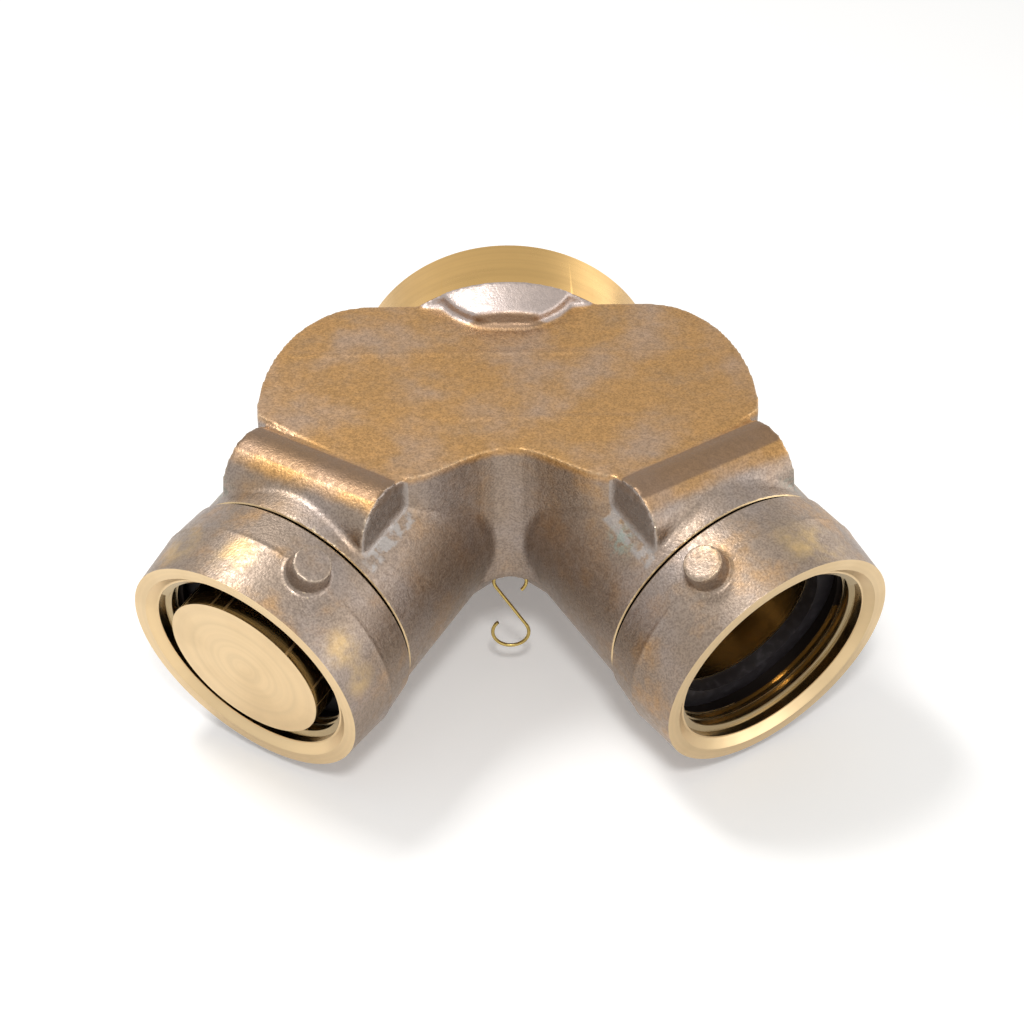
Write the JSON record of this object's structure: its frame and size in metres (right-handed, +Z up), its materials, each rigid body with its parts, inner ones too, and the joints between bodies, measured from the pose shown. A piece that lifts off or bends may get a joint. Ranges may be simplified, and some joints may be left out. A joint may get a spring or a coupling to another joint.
{
  "type": "fire department connection",
  "caption": "Flush two-way inlet body for a fire department connection: swivel hose inlets with drop clappers, a threaded back outlet and a hook for the cap chain.",
  "frame": {"origin": "centre of the outlet's mouth, on the back face of the turned hub", "axes": "+Y out of the outlet's mouth, into the wall; +Z up; +X to the right seen from the front, where the inlets are"},
  "size_m": [0.2768, 0.1981, 0.1254],
  "materials": {
    "cast_brass": "raw sand-cast brass",
    "swivel_brass": "raw cast outside, turned mouth and bore",
    "turned_brass": "turned",
    "wire_brass": "bright wire",
    "black_rubber": "moulded, satin",
    "steel": "ground"
  },
  "bodies": {
    "body": {"body": "cast_brass", "bearing_balls_right": "steel", "bearing_balls_left": "steel", "hinge_pin_right": "steel", "hinge_pin_left": "steel", "pin_plug_right": "turned_brass", "pin_plug_left": "turned_brass"},
    "hook": {"s_hook": "wire_brass"},
    "swivel_right": {"swivel_right": "swivel_brass", "hose_gasket_right": "black_rubber", "ball_plug_right": "turned_brass"},
    "clapper_right": {"clapper_right": "cast_brass", "clapper_facing_right": "black_rubber", "facing_washer_right": "turned_brass", "facing_screw_right": "turned_brass"},
    "swivel_left": {"swivel_left": "swivel_brass", "hose_gasket_left": "black_rubber", "ball_plug_left": "turned_brass"},
    "clapper_left": {"clapper_left": "cast_brass", "clapper_facing_left": "black_rubber", "facing_washer_left": "turned_brass", "facing_screw_left": "turned_brass"}
  },
  "joints": [
    {"name": "swivel_turn_right", "type": "hinge", "parent": "body", "child": "swivel_right", "pos_m": [0.097, -0.1704, -0.0088], "axis": [0.5392, -0.8241, -0.1736], "continuous": true},
    {"name": "clapper_swing_right", "type": "hinge", "parent": "body", "child": "clapper_right", "pos_m": [0.06805, -0.12616, 0.04266], "axis": [0.8368, 0.5476, 0], "range_deg": [0, 68]},
    {"name": "swivel_turn_left", "type": "hinge", "parent": "body", "child": "swivel_left", "pos_m": [-0.097, -0.1704, -0.0088], "axis": [-0.5392, -0.8241, -0.1736], "continuous": true},
    {"name": "clapper_swing_left", "type": "hinge", "parent": "body", "child": "clapper_left", "pos_m": [-0.06805, -0.12616, 0.04266], "axis": [0.8368, -0.5476, 0], "range_deg": [0, 68]},
    {"name": "hook_swing", "type": "hinge", "parent": "body", "child": "hook", "pos_m": [0, -0.1172, -0.00723], "axis": [1, 0, 0], "range_deg": [-12, 8]}
  ]
}
